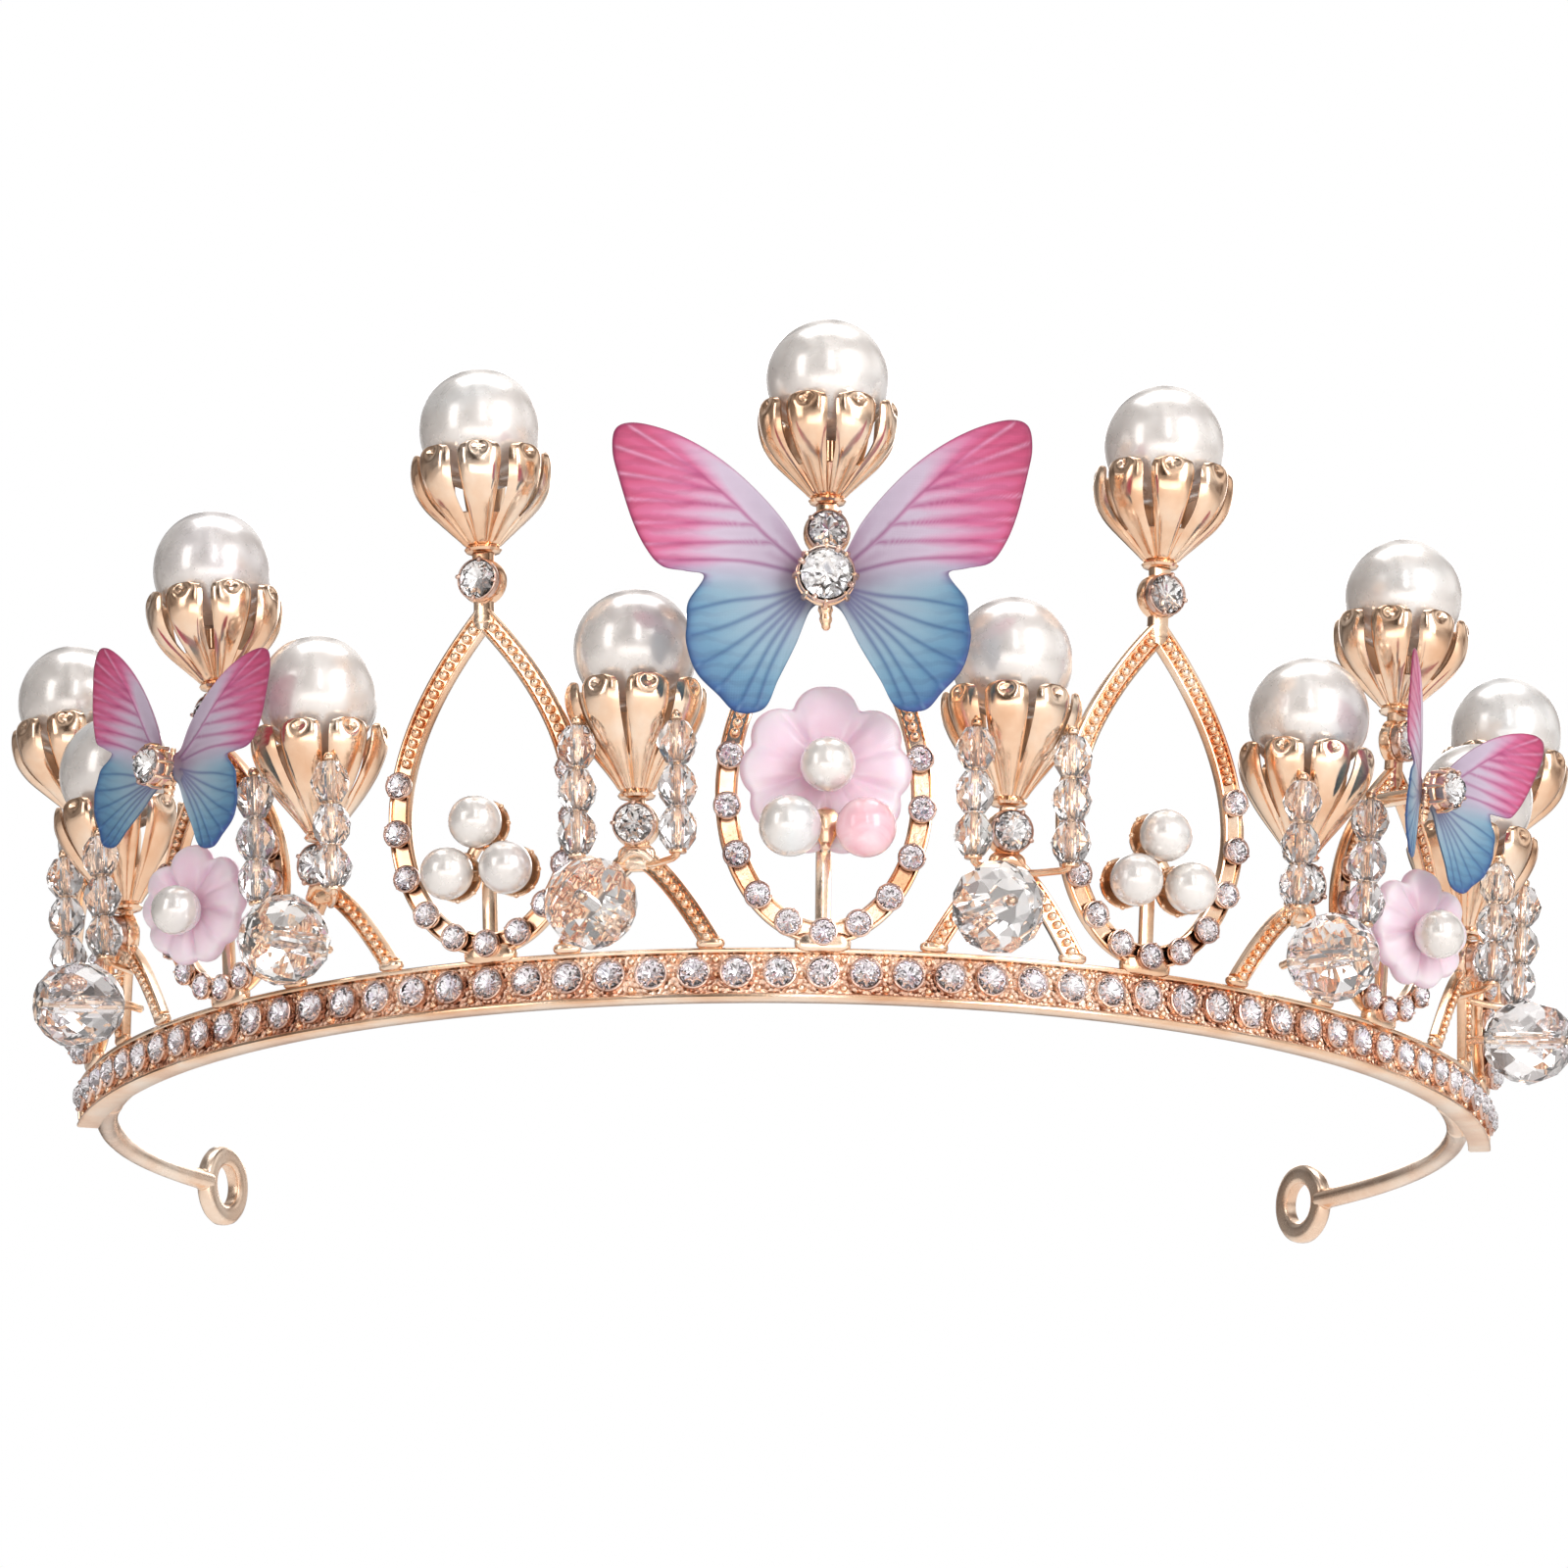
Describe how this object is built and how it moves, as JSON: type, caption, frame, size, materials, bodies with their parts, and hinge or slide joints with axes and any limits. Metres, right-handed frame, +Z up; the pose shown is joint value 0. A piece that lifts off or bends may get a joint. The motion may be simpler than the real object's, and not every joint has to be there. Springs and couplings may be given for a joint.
{
  "type": "tiara",
  "caption": "Crescent pearl tiara with teardrop loops, petal cups, faceted beads, resin flowers, hinged fabric butterflies and wire arms ending in eyelets.",
  "frame": {"origin": "on the resting plane, under the centre of the bounding box; x = 0 is the symmetry plane of the band", "axes": "+Z up, the decorated front faces -Y, +X runs from ear to ear"},
  "size_m": [0.1532, 0.1228, 0.0613],
  "materials": {
    "rose_gold": "polished warm rose-gold plating",
    "rhinestone": "clear faceted rhinestone",
    "faceted_crystal": "clear faceted bead",
    "pearl": "white imitation pearl, soft lustre",
    "pink_glass_bead": "glossy pink bead",
    "pink_resin": "translucent pale pink resin",
    "organza_wing": "printed translucent organza, pink above and blue below"
  },
  "bodies": {
    "tiara_frame": {"base_band": "rose_gold", "band_rhinestones": "rhinestone", "centre_loop": "rose_gold", "left_loop_1": "rose_gold", "left_loop_2": "rose_gold", "left_loop_3": "rose_gold", "right_loop_1": "rose_gold", "right_loop_2": "rose_gold", "right_loop_3": "rose_gold", "centre_loop_rhinestones": "rhinestone", "left_loop_rhinestones": "rhinestone", "right_loop_rhinestones": "rhinestone", "left_bridge_1": "rose_gold", "left_bridge_2": "rose_gold", "left_bridge_3": "rose_gold", "right_bridge_1": "rose_gold", "right_bridge_2": "rose_gold", "right_bridge_3": "rose_gold", "centre_petal_cup": "rose_gold", "left_tall_petal_cup_1": "rose_gold", "left_tall_petal_cup_2": "rose_gold", "left_tall_petal_cup_3": "rose_gold", "right_tall_petal_cup_1": "rose_gold", "right_tall_petal_cup_2": "rose_gold", "right_tall_petal_cup_3": "rose_gold", "left_low_petal_cup_1": "rose_gold", "left_low_petal_cup_2": "rose_gold", "left_low_petal_cup_3": "rose_gold", "right_low_petal_cup_1": "rose_gold", "right_low_petal_cup_2": "rose_gold", "right_low_petal_cup_3": "rose_gold", "tall_pearls": "pearl", "low_pearls": "pearl", "neck_rhinestones": "rhinestone", "centre_cluster_mount": "rose_gold", "left_cluster_mount": "rose_gold", "right_cluster_mount": "rose_gold", "left_flower_mount": "rose_gold", "right_flower_mount": "rose_gold", "centre_cluster_pearls": "pearl", "left_cluster_pearls": "pearl", "right_cluster_pearls": "pearl", "pink_bead": "pink_glass_bead", "centre_flower": "pink_resin", "left_flower": "pink_resin", "right_flower": "pink_resin", "centre_butterfly_mount": "rose_gold", "left_butterfly_mount": "rose_gold", "right_butterfly_mount": "rose_gold", "butterfly_rhinestones": "rhinestone", "large_crystals": "faceted_crystal", "small_crystals": "faceted_crystal"},
    "centre_butterfly_left_wing": {"centre_butterfly_left_wing": "organza_wing"},
    "centre_butterfly_right_wing": {"centre_butterfly_right_wing": "organza_wing"},
    "left_butterfly_left_wing": {"left_butterfly_left_wing": "organza_wing"},
    "left_butterfly_right_wing": {"left_butterfly_right_wing": "organza_wing"},
    "right_butterfly_left_wing": {"right_butterfly_left_wing": "organza_wing"},
    "right_butterfly_right_wing": {"right_butterfly_right_wing": "organza_wing"},
    "left_arm": {"left_arm": "rose_gold"},
    "right_arm": {"right_arm": "rose_gold"}
  },
  "joints": [
    {"name": "centre_butterfly_left_wing_fold", "type": "hinge", "parent": "tiara_frame", "child": "centre_butterfly_left_wing", "pos_m": [-0.0021, -0.05757, 0.03506], "axis": [0, -0.0958, 0.9954], "range_deg": [-3, 22], "stiffness_Nm_per_rad": 0.0003},
    {"name": "centre_butterfly_right_wing_fold", "type": "hinge", "parent": "tiara_frame", "child": "centre_butterfly_right_wing", "pos_m": [0.0009, -0.05757, 0.03506], "axis": [0, 0.0958, -0.9954], "range_deg": [-2, 26], "stiffness_Nm_per_rad": 0.0003},
    {"name": "left_butterfly_left_wing_fold", "type": "hinge", "parent": "tiara_frame", "child": "left_butterfly_left_wing", "pos_m": [-0.05952, -0.03014, 0.02438], "axis": [-0.0726, -0.0626, 0.9954], "range_deg": [-3, 32], "stiffness_Nm_per_rad": 0.0003},
    {"name": "left_butterfly_right_wing_fold", "type": "hinge", "parent": "tiara_frame", "child": "left_butterfly_right_wing", "pos_m": [-0.05756, -0.03241, 0.02438], "axis": [0.0726, 0.0626, -0.9954], "range_deg": [-2, 36], "stiffness_Nm_per_rad": 0.0003},
    {"name": "right_butterfly_left_wing_fold", "type": "hinge", "parent": "tiara_frame", "child": "right_butterfly_left_wing", "pos_m": [0.05523, -0.03384, 0.02415], "axis": [0.0726, -0.0626, 0.9954], "range_deg": [-12, 24], "stiffness_Nm_per_rad": 0.0003},
    {"name": "right_butterfly_right_wing_fold", "type": "hinge", "parent": "tiara_frame", "child": "right_butterfly_right_wing", "pos_m": [0.0572, -0.03157, 0.02415], "axis": [-0.0726, 0.0626, -0.9954], "range_deg": [-10, 22], "stiffness_Nm_per_rad": 0.0003},
    {"name": "left_arm_flex", "type": "hinge", "parent": "tiara_frame", "child": "left_arm", "pos_m": [-0.06598, 0.01118, 0.0023], "axis": [0, 0, 1], "range_deg": [-6, 8], "stiffness_Nm_per_rad": 0.06},
    {"name": "right_arm_flex", "type": "hinge", "parent": "tiara_frame", "child": "right_arm", "pos_m": [0.06598, 0.01118, 0.0023], "axis": [0, 0, -1], "range_deg": [-6, 8], "stiffness_Nm_per_rad": 0.06}
  ]
}
